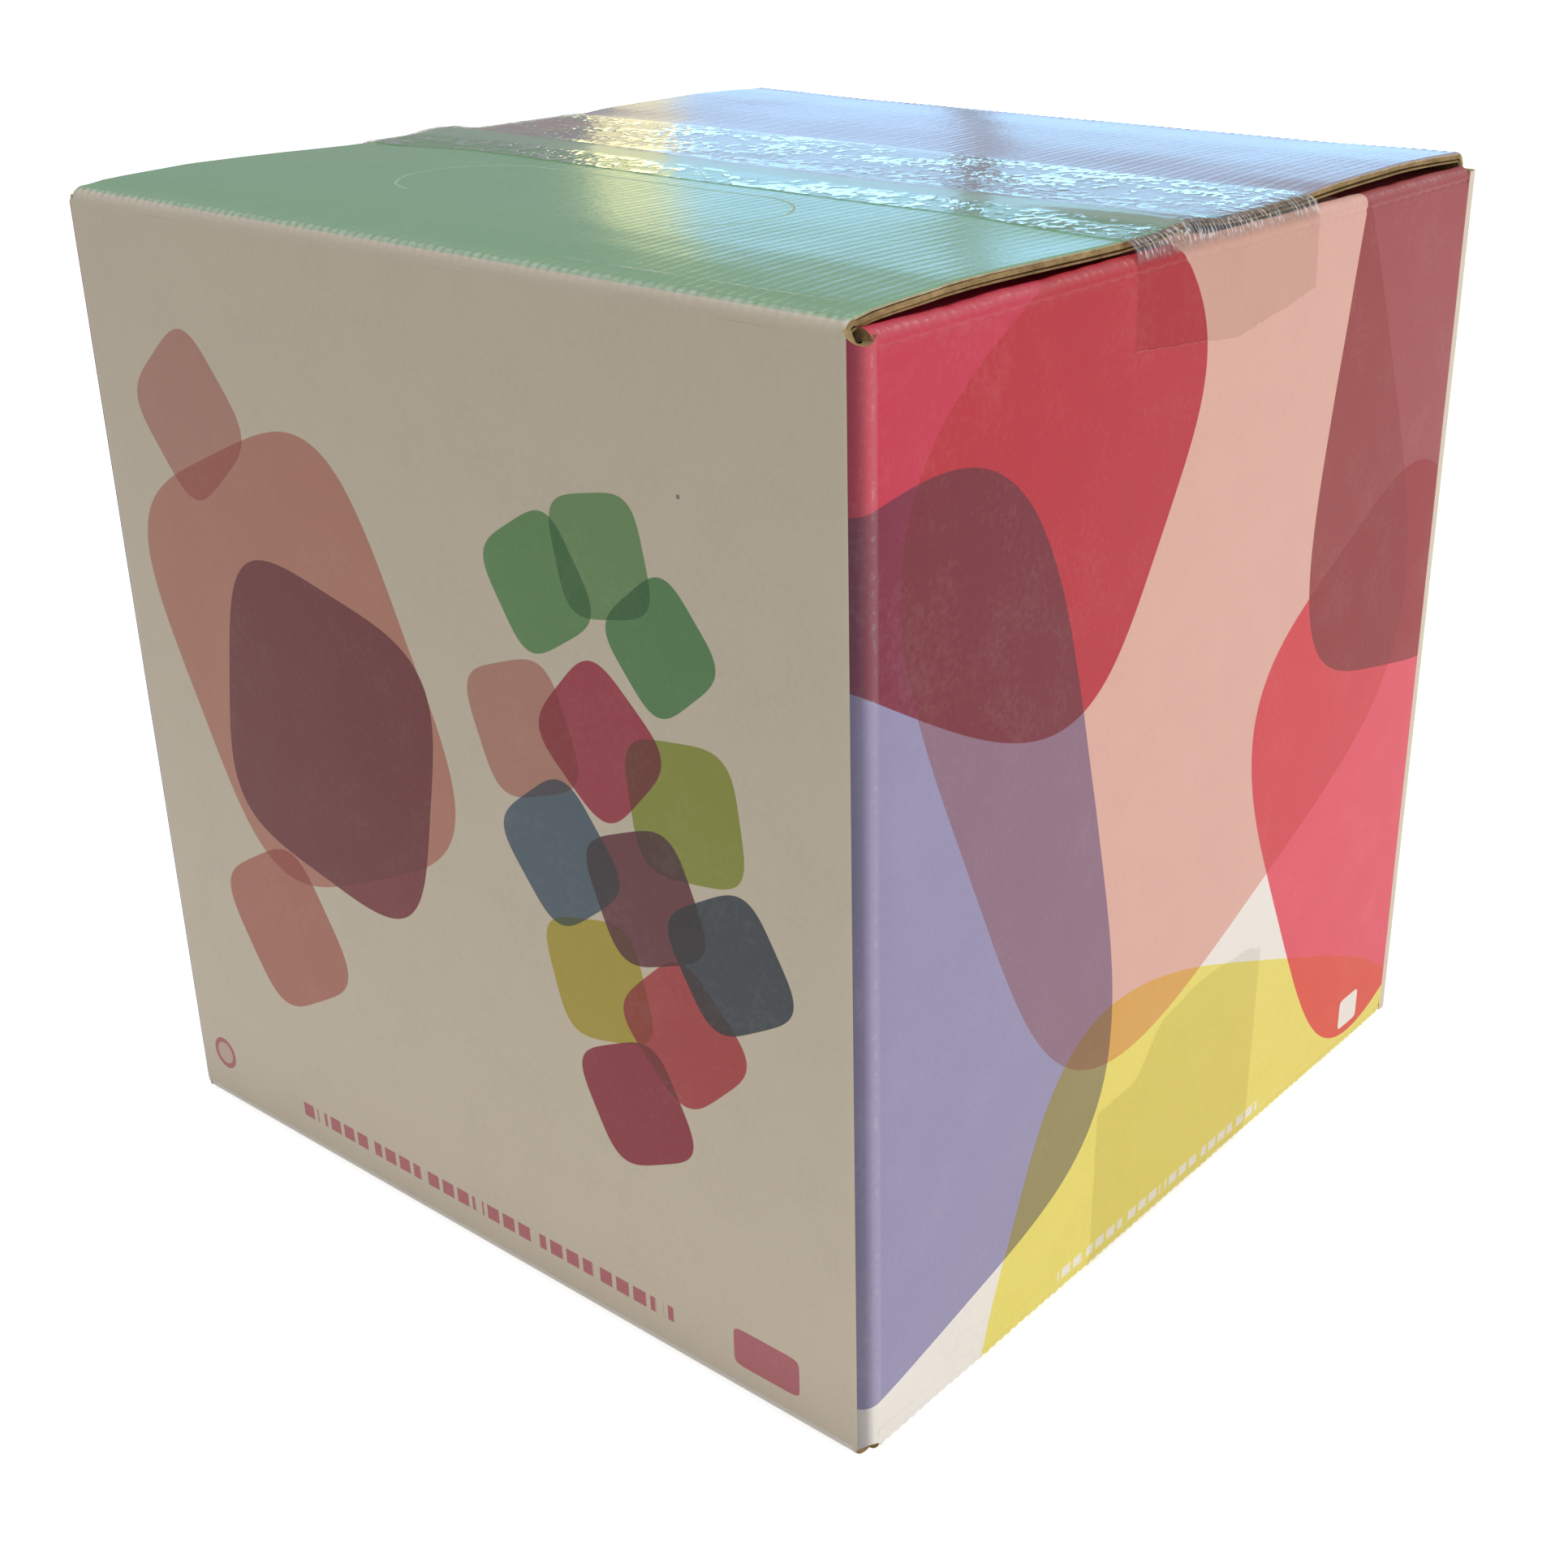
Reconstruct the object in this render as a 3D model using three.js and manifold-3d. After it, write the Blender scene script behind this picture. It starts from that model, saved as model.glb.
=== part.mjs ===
// A sealed bag in box carton: a corrugated box for three litres, its wide flaps closed over its narrow
// ones and taped along the seam, top and bottom. Millimetres, +Z up, X along the printed front, Y to the back.
// The origin is the middle of the footprint, on the surface that the pack stands on.

import * as THREE from "three";
import { mergeVertices } from "three/addons/utils/BufferGeometryUtils.js";
import Module from "manifold-3d";

// Outside of the box, from fold to fold
const width = 155;
const depth = 156;
const height = 159;

// Corrugated board and its folds
const board = 1.5;
const cornerRadius = 2.3;
const hingeRadius = 2.4;
const minorFoldRadius = 1.8;
const wallBulge = 0.8;

// Flaps: how far the wide ones are cut back from the sides, and how they lie over the narrow ones
const flapSetback = 2.4;
const minorFlapDrop = 1.6;
const gapReach = 9;
const hollowDrop = 3;

// Height of each wide top flap above its fold, from its hinge at 0 to its edge at the seam at 1
const frontFlapLie = [[0, 0], [0.3, 0.9], [0.7, 0.95], [1, 1.2]];
const backFlapLie = [[0, 0], [0.35, 1.15], [0.7, 0.55], [1, 0.4]];
const bottomFlapLie = [[0, 0], [1, 0]];

// Seam between the wide flaps: where it runs, and its crushed opening at the right end
const seamY = -4.2;
const seamGap = 0.8;
const bottomSeamY = 0;
const openingStart = 40;
const openingBend = 4;
const openingSlack = 0.35;
const frontCornerPull = 2.9;
const backCornerPull = 10.5;

// Hand hole in the front top flap, punched but not pushed in: its back side and both ends are cut
const handHoleLength = 69;
const handHoleWidth = 26;
const handHoleX = -3;
const handHoleY = -40.6;
const handHoleHook = 1.3;
const cutWidth = 0.5;
const cutDepth = 0.6;

// Side joint of the blank at the back left corner, where one panel's raw edge shows
const jointSlit = 0.6;
const jointDepth = 0.9;

// Clear packing tape
const tapeWidth = 48;
const tapeThickness = 0.15;
const tapeGap = 0.12;
const topTapeY = 1.5;
const bottomTapeY = 0.5;
const topTapeDrops = [[-24, 13.5], [-12, 14.6], [2, 16.0], [14, 14.4], [24, 12.6]];
const bottomTapeRises = [[-24, 30.0], [-14, 30.6], [-6, 38.5], [6, 40.4], [19, 39.6], [24, 38.0]];

// How finely the surfaces are divided
const arcSteps = 6;
const wallSteps = 10;
const flapSteps = 14;
const tapeRows = 12;
const tapeSideSteps = 5;

const halfWidth = width / 2;
const halfDepth = depth / 2;
const baseZ = tapeThickness + tapeGap;
const topZ = baseZ + height;
const coreBase = baseZ + minorFlapDrop;
const coreTop = topZ - minorFlapDrop;
const flapHalf = halfWidth - flapSetback;
const overrun = 5;

const wasm = await Module();
wasm.setup();

// Turns a closed geometry into a solid that can be joined and cut.
function solidOf(geometry) {
  const bare = geometry.clone();
  bare.deleteAttribute("normal");
  bare.deleteAttribute("uv");
  const merged = mergeVertices(bare, 1e-5);
  return new wasm.Manifold(new wasm.Mesh({
    numProp: 3,
    vertProperties: new Float32Array(merged.attributes.position.array),
    triVerts: new Uint32Array(merged.index.array),
  }));
}

// Turns a finished solid back into a geometry with its own normals.
function geometryOf(solid) {
  const mesh = solid.getMesh();
  const geometry = new THREE.BufferGeometry();
  geometry.setAttribute("position", new THREE.BufferAttribute(new Float32Array(mesh.vertProperties), 3));
  geometry.setIndex(new THREE.BufferAttribute(new Uint32Array(mesh.triVerts), 1));
  geometry.computeVertexNormals();
  return geometry;
}

// A shape drawn in plan, raised from one height to another.
function risen(shape, low, high, steps = 1) {
  const settings = { depth: high - low, steps, bevelEnabled: false, curveSegments: arcSteps };
  return new THREE.ExtrudeGeometry(shape, settings).translate(0, 0, low);
}

// A section drawn with Y across and Z up, run along X between two places.
function alongX(shape, left, right) {
  const settings = { depth: right - left, bevelEnabled: false, curveSegments: arcSteps };
  const turn = new THREE.Matrix4().makeBasis(
    new THREE.Vector3(0, 1, 0), new THREE.Vector3(0, 0, 1), new THREE.Vector3(1, 0, 0));
  return new THREE.ExtrudeGeometry(shape, settings).applyMatrix4(turn).translate(left, 0, 0);
}

// A section drawn with X across and Z up, run along Y between two places.
function alongY(shape, front, back) {
  const settings = { depth: back - front, bevelEnabled: false, curveSegments: arcSteps };
  return new THREE.ExtrudeGeometry(shape, settings).rotateX(Math.PI / 2).translate(0, back, 0);
}

// How far a wall stands out: most in its middle, nothing at its folds.
function bulgeAt(across, halfAcross, z) {
  const sideways = 1 - Math.min(1, Math.abs(across) / halfAcross) ** 2;
  const halfHeight = (coreTop - coreBase) / 2;
  const upwards = 1 - Math.min(1, Math.abs(z - coreBase - halfHeight) / halfHeight) ** 2;
  return wallBulge * sideways * upwards;
}

// Plan of the four walls, with folded corners and divided sides.
function wallPlan() {
  const shape = new THREE.Shape();
  const corners = [[1, -1], [1, 1], [-1, 1], [-1, -1]];
  corners.forEach(([sx, sy], index) => {
    const [nx, ny] = corners[(index + 1) % corners.length];
    const centre = [sx * (halfWidth - cornerRadius), sy * (halfDepth - cornerRadius)];
    const next = [nx * (halfWidth - cornerRadius), ny * (halfDepth - cornerRadius)];
    const start = -Math.PI / 2 + index * Math.PI / 2;
    shape.absarc(centre[0], centre[1], cornerRadius, start, start + Math.PI / 2, false);
    const out = [Math.round(Math.cos(start + Math.PI / 2)), Math.round(Math.sin(start + Math.PI / 2))];
    for (let step = 1; step < wallSteps; step += 1) {
      const share = step / wallSteps;
      shape.lineTo(
        centre[0] + (next[0] - centre[0]) * share + out[0] * cornerRadius,
        centre[1] + (next[1] - centre[1]) * share + out[1] * cornerRadius);
    }
  });
  return shape;
}

// The walls with what they hold, swelled a little by the bag inside.
function coreSolid() {
  const geometry = risen(wallPlan(), coreBase, coreTop, wallSteps);
  const places = geometry.attributes.position;
  const edge = 0.01;
  for (let index = 0; index < places.count; index += 1) {
    const x = places.getX(index);
    const y = places.getY(index);
    const z = places.getZ(index);
    if (Math.abs(x) > halfWidth - edge) places.setX(index, x + Math.sign(x) * bulgeAt(y, halfDepth, z));
    if (Math.abs(y) > halfDepth - edge) places.setY(index, y + Math.sign(y) * bulgeAt(x, halfWidth, z));
  }
  return solidOf(geometry);
}

// What rounds one fold of a narrow flap: the waste outside its radius. The side is -1 for the left and
// 1 for the right, and the end is -1 for the bottom and 1 for the top.
function minorFoldWaste(side, end) {
  const centreX = side * (halfWidth - minorFoldRadius);
  const centreZ = (end > 0 ? coreTop : coreBase) - end * minorFoldRadius;
  const farX = side * (halfWidth + overrun);
  const farZ = centreZ + end * (minorFoldRadius + overrun);
  const points = [];
  for (let step = 0; step <= arcSteps; step += 1) {
    const angle = step / arcSteps * Math.PI / 2;
    const x = centreX + side * Math.cos(angle) * minorFoldRadius;
    points.push(new THREE.Vector2(x, centreZ + end * Math.sin(angle) * minorFoldRadius));
  }
  points.push(new THREE.Vector2(centreX, farZ), new THREE.Vector2(farX, farZ), new THREE.Vector2(farX, centreZ));
  return solidOf(alongY(new THREE.Shape(points), -halfDepth - overrun, halfDepth + overrun));
}

// Height of a wide flap above its fold at a share of its length, on a smooth curve through its lie.
function lieAt(lie, share) {
  const curve = new THREE.SplineCurve(lie.map(([place, rise]) => new THREE.Vector2(place, rise)));
  const place = Math.min(1, Math.max(0, share));
  let low = 0;
  let high = 1;
  for (let round = 0; round < 24; round += 1) {
    const middle = (low + high) / 2;
    if (curve.getPoint(middle).x < place) low = middle;
    else high = middle;
  }
  return curve.getPoint(high).y;
}

// Height of the upper face of a wide top flap above the fold, at a distance across the box.
function riseAt(y) {
  const front = y < seamY;
  const run = halfDepth - hingeRadius + (front ? seamY : -seamY);
  return lieAt(front ? frontFlapLie : backFlapLie, (halfDepth - hingeRadius - Math.abs(y)) / run);
}

// Section of one wide flap: up the wall, round the hinge, then flat to the seam. The side is -1 for the
// front and 1 for the back. A filled one reaches down to the narrow flaps, and the other one is a bare board.
function wideFlapSection(side, end, seamAt, lie, filled) {
  const fold = end > 0 ? topZ : baseZ;
  const foot = fold - end * (hingeRadius + hollowDrop);
  const wall = side * halfDepth;
  const hingeY = wall - side * hingeRadius;
  const hingeZ = fold - end * hingeRadius;
  const outer = [[wall, foot]];
  const inner = [[wall - side * board, foot]];
  for (let step = 0; step <= arcSteps; step += 1) {
    const angle = step / arcSteps * Math.PI / 2;
    const inside = hingeRadius - board;
    outer.push([hingeY + side * Math.cos(angle) * hingeRadius, hingeZ + end * Math.sin(angle) * hingeRadius]);
    inner.push([hingeY + side * Math.cos(angle) * inside, hingeZ + end * Math.sin(angle) * inside]);
  }
  for (let step = 1; step <= flapSteps; step += 1) {
    const y = hingeY + (seamAt - hingeY) * step / flapSteps;
    const z = fold + end * lieAt(lie, step / flapSteps);
    outer.push([y, z]);
    inner.push([y, z - end * board]);
  }
  const deep = fold - end * (minorFlapDrop + overrun);
  const back = filled ? [[seamAt, deep], [wall - side * board, deep]] : inner.reverse();
  return new THREE.Shape([...outer, ...back].map(([y, z]) => new THREE.Vector2(y, z)));
}

// Both wide flaps of one end, hollow under their side edges and filled further in.
function wideFlaps(end, seamAt, frontLie, backLie) {
  const parts = [];
  for (const side of [-1, 1]) {
    const lie = side < 0 ? frontLie : backLie;
    parts.push(solidOf(alongX(wideFlapSection(side, end, seamAt, lie, false), -flapHalf, flapHalf)));
    const inset = flapHalf - gapReach;
    parts.push(solidOf(alongX(wideFlapSection(side, end, seamAt, lie, true), -inset, inset)));
  }
  return parts.reduce((joined, next) => joined.add(next));
}

// The slot between the two top flaps, narrow at the left and crushed open at the right end.
function topSeamSlot() {
  const half = seamGap / 2;
  const far = halfWidth + overrun;
  const shape = new THREE.Shape([
    new THREE.Vector2(-far, seamY - half),
    new THREE.Vector2(openingStart, seamY - half),
    new THREE.Vector2(flapHalf, seamY - half - frontCornerPull),
    new THREE.Vector2(far, seamY - half - frontCornerPull),
    new THREE.Vector2(far, seamY + half + backCornerPull),
    new THREE.Vector2(flapHalf, seamY + half + backCornerPull),
  ]);
  const bendY = seamY + half + backCornerPull * openingSlack;
  shape.quadraticCurveTo(flapHalf - openingBend, bendY, openingStart, seamY + half);
  shape.lineTo(-far, seamY + half);
  return solidOf(risen(shape, coreTop, topZ + overrun));
}

// The slot between the two bottom flaps.
function bottomSeamSlot() {
  const far = halfWidth + overrun;
  const slot = new THREE.BoxGeometry(2 * far, seamGap, overrun);
  return solidOf(slot.translate(0, bottomSeamY, coreBase - overrun / 2));
}

// The punched line of the hand hole: a stadium of two half rounds, whose front side is left whole. It
// turns in at both ends by the hook's angle.
function handHoleLine() {
  const radius = handHoleWidth / 2;
  const reach = handHoleLength / 2 - radius;
  const wide = radius + cutWidth / 2;
  const narrow = radius - cutWidth / 2;
  const quarter = Math.PI / 2;
  const shape = new THREE.Shape();
  shape.absarc(reach, 0, wide, -handHoleHook, quarter, false);
  shape.absarc(-reach, 0, wide, quarter, 2 * quarter + handHoleHook, false);
  shape.absarc(-reach, 0, narrow, 2 * quarter + handHoleHook, quarter, true);
  shape.absarc(reach, 0, narrow, quarter, -handHoleHook, true);
  const low = topZ + riseAt(handHoleY) - cutDepth;
  return solidOf(risen(shape, low, topZ + overrun).translate(handHoleX, handHoleY, 0));
}

// The slit where the last panel's raw edge meets the folded glue flap, up the back left corner.
function jointLine() {
  const slit = new THREE.BoxGeometry(2 * jointDepth, jointSlit, coreTop - coreBase);
  return solidOf(slit.translate(-halfWidth, halfDepth - board - jointSlit / 2, (coreTop + coreBase) / 2));
}

// The whole closed box with its contents.
function cartonGeometry() {
  let solid = coreSolid();
  for (const side of [-1, 1]) {
    for (const end of [-1, 1]) solid = solid.subtract(minorFoldWaste(side, end));
  }
  solid = solid.add(wideFlaps(1, seamY, frontFlapLie, backFlapLie).subtract(topSeamSlot()));
  solid = solid.add(wideFlaps(-1, bottomSeamY, bottomFlapLie, bottomFlapLie).subtract(bottomSeamSlot()));
  return geometryOf(solid.subtract(handHoleLine()).subtract(jointLine()));
}

// A torn end's length at a place across the tape, read between its measured points.
function tornLength(points, across) {
  const last = points.length - 1;
  if (across <= points[0][0]) return points[0][1];
  if (across >= points[last][0]) return points[last][1];
  const index = points.findIndex(([place]) => place > across);
  const [x0, y0] = points[index - 1];
  const [x1, y1] = points[index];
  return y0 + (y1 - y0) * (across - x0) / (x1 - x0);
}

// Height of the top tape above the fold. It lies on both flaps and bridges the step between their edges.
function tapeRiseAt(y) {
  const pitch = tapeWidth / tapeRows;
  const landing = seamY + 3 * pitch;
  if (y < seamY || y >= landing) return riseAt(y);
  const frontEdge = frontFlapLie[frontFlapLie.length - 1][1];
  const share = Math.max(0, (y - seamY - pitch) / (landing - seamY - pitch));
  return frontEdge + (riseAt(landing) - frontEdge) * share;
}

// The path of the tape at one place across it: up the right side, over and down the left one.
function tapePath(y, end, lengths, across) {
  const level = end > 0 ? topZ + tapeRiseAt(y) + tapeGap : baseZ - tapeGap;
  const side = halfWidth + tapeGap;
  const radius = side - flapHalf;
  const torn = end > 0 ? topZ - tornLength(lengths, across) : baseZ + tornLength(lengths, across);
  const bendZ = level - end * radius;
  const points = [];
  for (let step = 0; step <= tapeSideSteps; step += 1) {
    const z = torn + (bendZ - torn) * step / tapeSideSteps;
    points.push([side + bulgeAt(y, halfDepth, z), z]);
  }
  for (let step = 1; step <= arcSteps; step += 1) {
    const angle = step / arcSteps * Math.PI / 2;
    points.push([flapHalf + Math.cos(angle) * radius, bendZ + end * Math.sin(angle) * radius]);
  }
  points.push([flapHalf / 2, level]);
  const mirrored = points.map(([x, z]) => [-x, z]).reverse();
  return [...points, ...mirrored];
}

// A strip of tape as one thin closed solid that follows the box over both of its side folds.
function tapeGeometry(centreY, end, lengths) {
  const columns = tapePath(centreY, end, lengths, 0).length;
  const geometry = new THREE.BoxGeometry(1, 1, 1, columns - 1, tapeRows, 1);
  const places = geometry.attributes.position;
  for (let index = 0; index < places.count; index += 1) {
    const column = Math.round((places.getX(index) + 0.5) * (columns - 1));
    const across = -end * places.getY(index) * tapeWidth;
    const y = centreY + across;
    const path = tapePath(y, end, lengths, across);
    const [beforeX, beforeZ] = path[Math.max(0, column - 1)];
    const [afterX, afterZ] = path[Math.min(columns - 1, column + 1)];
    const run = Math.hypot(afterX - beforeX, afterZ - beforeZ);
    const lift = places.getZ(index) > 0 ? tapeThickness * end / run : 0;
    const x = path[column][0] + lift * (afterZ - beforeZ);
    places.setXYZ(index, x, y, path[column][1] - lift * (afterX - beforeX));
  }
  return geometryOf(solidOf(geometry));
}

// A named piece with its colour and finish.
function meshOf(name, geometry, colour, roughness, options = {}) {
  const material = new THREE.MeshStandardMaterial({ color: colour, roughness, metalness: 0, ...options });
  const mesh = new THREE.Mesh(geometry, material);
  mesh.name = name;
  return mesh;
}

const group = new THREE.Group();
group.add(meshOf("carton", cartonGeometry(), 0xb0a797, 0.6));
const clear = { transparent: true, opacity: 0.3 };
group.add(meshOf("top_tape", tapeGeometry(topTapeY, 1, topTapeDrops), 0xe8e6e2, 0.15, clear));
group.add(meshOf("bottom_tape", tapeGeometry(bottomTapeY, -1, bottomTapeRises), 0xe8e6e2, 0.15, clear));

export default group;
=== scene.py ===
"""Looks of a sealed bag in box carton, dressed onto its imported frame.

The carton is made from flat sheets, as the real one is: each sheet is a flat grid that is folded round
the box by a rule of its own. The rules work in millimetres, in the part's frame.
"""

import logging
import math
from dataclasses import dataclass, field
from enum import Enum, IntEnum
from typing import Callable, NamedTuple, Sequence, Union

import bpy
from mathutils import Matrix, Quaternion, Vector, noise

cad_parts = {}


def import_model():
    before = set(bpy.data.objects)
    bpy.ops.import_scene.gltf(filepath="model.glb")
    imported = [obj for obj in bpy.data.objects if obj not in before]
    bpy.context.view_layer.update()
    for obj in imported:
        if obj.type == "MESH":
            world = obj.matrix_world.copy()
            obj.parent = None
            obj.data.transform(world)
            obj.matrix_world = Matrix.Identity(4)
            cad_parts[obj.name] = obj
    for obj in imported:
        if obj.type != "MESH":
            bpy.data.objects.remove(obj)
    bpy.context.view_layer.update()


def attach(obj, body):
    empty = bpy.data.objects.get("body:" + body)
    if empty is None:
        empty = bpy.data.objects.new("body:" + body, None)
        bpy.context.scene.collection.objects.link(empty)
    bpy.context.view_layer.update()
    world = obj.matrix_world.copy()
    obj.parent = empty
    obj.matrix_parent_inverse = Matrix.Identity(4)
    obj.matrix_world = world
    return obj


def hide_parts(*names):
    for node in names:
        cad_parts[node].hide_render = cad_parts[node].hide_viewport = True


log = logging.getLogger("bag_in_box")

MM = 0.001

Spot = tuple[float, float]
Triple = tuple[float, float, float]
Colour = tuple[float, float, float]
Table = Sequence[Spot]
Fold = Callable[[float, float], tuple[Vector, float]]


class End(Enum):
    """Which end of the box a flap closes."""

    TOP = 1
    BOTTOM = -1


class Side(Enum):
    """The direction that a wall faces along its own axis."""

    NEAR = -1
    FAR = 1


class Wall(Enum):
    """One of the four walls."""

    FRONT = "front"
    RIGHT = "right"
    BACK = "back"
    LEFT = "left"


class Print(IntEnum):
    """The place of each finish in the list that the walls carry."""

    FRONT = 0
    SIDE = 1
    BACK = 2
    CUT = 3


class Layer(Enum):
    """A layer of the corrugated board: its middle's depth under the printed face, and its thickness."""

    FACE = (0.0, 0.26)
    FLUTES = (0.42, 0.62)
    INSIDE = (1.24, 0.26)


class WallPoint(NamedTuple):
    """A point of the walls' line: its place, its wear and painted highlight, and how far short of the folds
    the board is cut.
    """

    x: float
    y: float
    wear_and_highlight: float
    cut: float
    wall: Wall | None = None


def ink(code: str) -> Colour:
    """Turns a colour written as six hex digits into linear light.

    Args:
        code: The colour's six hex digits.

    Returns:
        The colour as linear red, green and blue.
    """
    parts = [int(code[place : place + 2], 16) / 255 for place in (0, 2, 4)]
    red, green, blue = (p / 12.92 if p <= 0.04045 else ((p + 0.055) / 1.055) ** 2.4 for p in parts)
    return red, green, blue


def smooth(value: float) -> float:
    """A smooth step from 0 to 1."""
    held = min(1.0, max(0.0, value))
    return held * held * (3 - 2 * held)


def hill(value: float, middle: float, width: float) -> float:
    """A smooth hill, 1 in its middle and fading over its width."""
    return math.exp(-(((value - middle) / width) ** 2))


def turns(along: float, pitch: float) -> float:
    """The angle at a place along a wave that repeats with a pitch."""
    return 2 * math.pi * along / pitch


def read(table: Table, at: float) -> float:
    """Reads a table between its points.

    Args:
        table: Places in rising order, each with its value.
        at: The place to read.

    Returns:
        The value there, smoothly between its neighbours.
    """
    if at <= table[0][0]:
        return table[0][1]
    for (low, first), (high, last) in zip(table, table[1:]):
        if at <= high:
            share = (at - low) / (high - low)
            return first + (last - first) * (0.5 * share + 0.5 * smooth(share))
    return table[-1][1]


def ripple(x: float, y: float, z: float, size: float) -> float:
    """Smooth noise from -1 to 1 at a place, with lumps of a size in millimetres."""
    return noise.noise(Vector((x / size, y / size, z / size)))


def deselect_all() -> None:
    """Leaves object mode with nothing selected."""
    if bpy.context.mode != "OBJECT":
        bpy.ops.object.mode_set(mode="OBJECT")
    bpy.ops.object.select_all(action="DESELECT")


def folded_sheet(name: str, columns: int, rows: int, fold: Fold) -> bpy.types.Object:
    """Makes a flat sheet and folds it.

    Args:
        name: The piece's name.
        columns: How many faces it has across.
        rows: How many faces it has upwards.
        fold: Gives a point in millimetres and its wear and painted highlight, from a column and a row.

    Returns:
        The folded sheet, with its wear and painted highlight kept in the attribute named crease.
    """
    deselect_all()
    bpy.ops.mesh.primitive_grid_add(x_subdivisions=columns, y_subdivisions=rows, size=2)
    sheet = bpy.context.active_object
    sheet.name = name
    sheet.data.name = name
    crease = sheet.data.attributes.new("crease", "FLOAT", "POINT")
    for index, vertex in enumerate(sheet.data.vertices):
        point, wear_and_highlight = fold((vertex.co.x + 1) / 2 * columns, (vertex.co.y + 1) / 2 * rows)
        vertex.co = point * MM
        crease.data[index].value = wear_and_highlight
    return sheet


def coat(sheet: bpy.types.Object, *finishes: "Finish") -> None:
    """Gives a piece its finishes in order."""
    for finish in finishes:
        sheet.data.materials.append(finish.material)


def smoothed(sheet: bpy.types.Object, degrees: float) -> None:
    """Shades a piece smooth but for edges sharper than an angle."""
    deselect_all()
    sheet.select_set(True)
    bpy.context.view_layer.objects.active = sheet
    bpy.ops.object.shade_smooth_by_angle(angle=math.radians(degrees))


def thickened(sheet: bpy.types.Object, thickness: float, inside: int, rim: int,
              degrees: float = 40) -> None:
    """Gives a sheet its thickness, inwards, and shades it smooth.

    Args:
        sheet: The sheet.
        thickness: Its thickness in millimetres.
        inside: How many material places further on the inner face's finish is.
        rim: How many places further on the cut edge's finish is.
        degrees: The angle up to which its edges are shaded smooth.
    """
    wall = sheet.modifiers.new("thickness", "SOLIDIFY")
    wall.thickness = thickness * MM
    wall.offset = -1
    wall.material_offset = inside
    wall.material_offset_rim = rim
    bpy.context.view_layer.objects.active = sheet
    bpy.ops.object.modifier_apply(modifier=wall.name)
    smoothed(sheet, degrees)


Value = Union["Wire", float, int]


class Wire:
    """A number that runs through a node tree. Python's operators on it add Math nodes."""

    def __init__(self, nodes: "Nodes", socket: bpy.types.NodeSocket) -> None:
        """Holds a socket and the tree that it belongs to."""
        self.nodes = nodes
        self.socket = socket

    def math(self, operation: str, *values: Value, clamp: bool = False) -> "Wire":
        """Adds one Math node whose first value is this wire.

        Args:
            operation: The node's operation.
            values: The further values or wires.
            clamp: Whether the result is held between 0 and 1.

        Returns:
            The result.
        """
        return self.nodes.sums(operation, self, *values, clamp=clamp)

    def __add__(self, other: Value) -> "Wire":
        """This plus other."""
        return self.math("ADD", other)

    __radd__ = __add__

    def __mul__(self, other: Value) -> "Wire":
        """This times other."""
        return self.math("MULTIPLY", other)

    __rmul__ = __mul__

    def __sub__(self, other: Value) -> "Wire":
        """This less other."""
        return self.math("SUBTRACT", other)

    def __rsub__(self, other: Value) -> "Wire":
        """Other less this."""
        return self.nodes.sums("SUBTRACT", other, self)

    def __truediv__(self, other: Value) -> "Wire":
        """This over other."""
        return self.math("DIVIDE", other)

    def __abs__(self) -> "Wire":
        """This without its sign."""
        return self.math("ABSOLUTE")

    def __lt__(self, other: Value) -> "Wire":
        """1 where this is less than other, and 0 elsewhere."""
        return self.math("LESS_THAN", other)

    def soft(self, low: float, high: float) -> "Wire":
        """Ramps this from 0 at low to 1 at high, and holds it there."""
        slope = 1 / (high - low)
        return self.nodes.sums("MULTIPLY_ADD", self, slope, -low * slope, clamp=True)

    def least(self, other: Value) -> "Wire":
        """The lesser of this and other."""
        return self.math("MINIMUM", other)

    def most(self, other: Value) -> "Wire":
        """The greater of this and other."""
        return self.math("MAXIMUM", other)


@dataclass(frozen=True)
class Motif:
    """One shape of the print: its middle, half sizes in millimetres, tilt in degrees and ink."""

    across: float
    up: float
    half_width: float
    half_height: float
    tilt: float
    colour: str
    squareness: int = 2


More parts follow.
